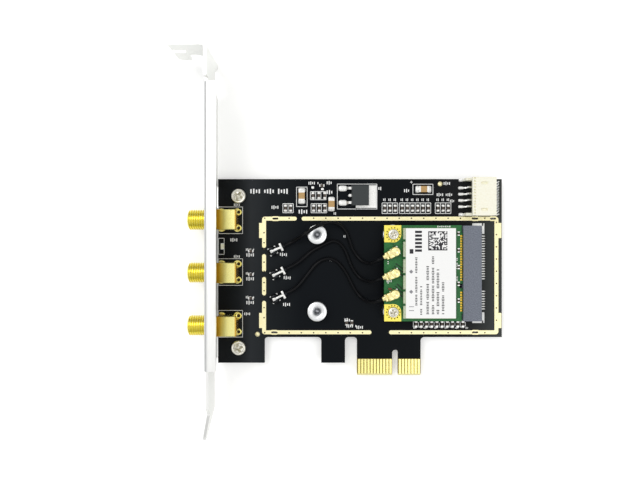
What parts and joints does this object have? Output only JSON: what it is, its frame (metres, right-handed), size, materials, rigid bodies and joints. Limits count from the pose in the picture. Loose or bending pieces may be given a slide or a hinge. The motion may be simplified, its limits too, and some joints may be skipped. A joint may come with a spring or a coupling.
{
  "type": "mini pcie adapter card",
  "caption": "Desktop expansion card with a full-height slot bracket, threaded antenna jacks, an edge connector and a socketed mini card joined to the jacks by coax pigtails.",
  "frame": {"origin": "middle of the edge connector's key notch, at its mouth, on the board's component face", "axes": "+X runs along the board away from the slot bracket, +Y runs from the edge connector towards the screw tab, +Z is the component side"},
  "size_m": [0.1026, 0.1197, 0.0186],
  "materials": {
    "bracket_steel": "satin nickel plate",
    "screw_steel": "bright nickel plate",
    "board_mask": "semi-gloss black solder mask",
    "card_mask": "semi-gloss green solder mask",
    "gold_plating": "bright gold plate",
    "pale_plating": "satin pale gold plate",
    "card_pad_plating": "satin pale gold plate",
    "jack_gold": "bright gold plate",
    "plug_gold": "bright pale gold plate",
    "plug_silver": "bright tin plate",
    "tin_plating": "bright tin plate",
    "socket_plastic": "fine matt moulding",
    "header_plastic": "satin ivory moulding",
    "insulator_plastic": "waxy white",
    "regulator_plastic": "matt moulded resin",
    "chip_ceramic": "matt ceramic",
    "cap_ceramic": "matt tan ceramic",
    "light_resin": "clear milky resin",
    "label_paper": "satin printed paper",
    "can_steel": "bright tin plate",
    "standoff_steel": "turned and tin plated",
    "cable_jacket": "smooth black jacket"
  },
  "bodies": {
    "root": {"slot_bracket": "bracket_steel", "bracket_screws": "screw_steel", "circuit_board": "board_mask", "edge_fingers_front": "gold_plating", "edge_fingers_back": "gold_plating", "shield_ground_strips": "pale_plating", "antenna_jack_1": "jack_gold", "antenna_jack_2": "jack_gold", "antenna_jack_3": "jack_gold", "jack_insulator_1": "insulator_plastic", "jack_insulator_2": "insulator_plastic", "jack_insulator_3": "insulator_plastic", "jack_contact_1": "gold_plating", "jack_contact_2": "gold_plating", "jack_contact_3": "gold_plating", "jack_pads": "pale_plating", "card_socket_housing": "socket_plastic", "card_socket_contacts": "tin_plating", "card_socket_hold_downs": "tin_plating", "radio_card_board": "card_mask", "radio_card_pads": "card_pad_plating", "radio_card_fingers": "gold_plating", "radio_card_shield": "can_steel", "radio_card_label": "label_paper", "radio_card_chips": "chip_ceramic", "radio_card_chip_ends": "tin_plating", "card_screws": "screw_steel", "card_standoff_1": "standoff_steel", "card_standoff_2": "standoff_steel", "spare_standoff_1": "standoff_steel", "spare_standoff_2": "standoff_steel", "board_receptacles": "tin_plating", "card_receptacles": "tin_plating", "receptacle_shells": "gold_plating", "board_plug_1": "plug_silver", "board_plug_2": "plug_silver", "board_plug_3": "plug_silver", "card_plug_1": "plug_gold", "card_plug_2": "plug_gold", "card_plug_3": "plug_gold", "coax_cable_1": "cable_jacket", "coax_cable_2": "cable_jacket", "coax_cable_3": "cable_jacket", "header_housing": "header_plastic", "header_pins": "tin_plating", "header_hold_downs": "tin_plating", "regulator_body": "regulator_plastic", "regulator_tab": "tin_plating", "regulator_leads": "tin_plating", "power_capacitors": "cap_ceramic", "power_capacitor_ends": "tin_plating", "chip_bodies": "chip_ceramic", "chip_ends": "tin_plating", "status_light": "light_resin", "status_light_ends": "tin_plating"}
  },
  "joints": []
}
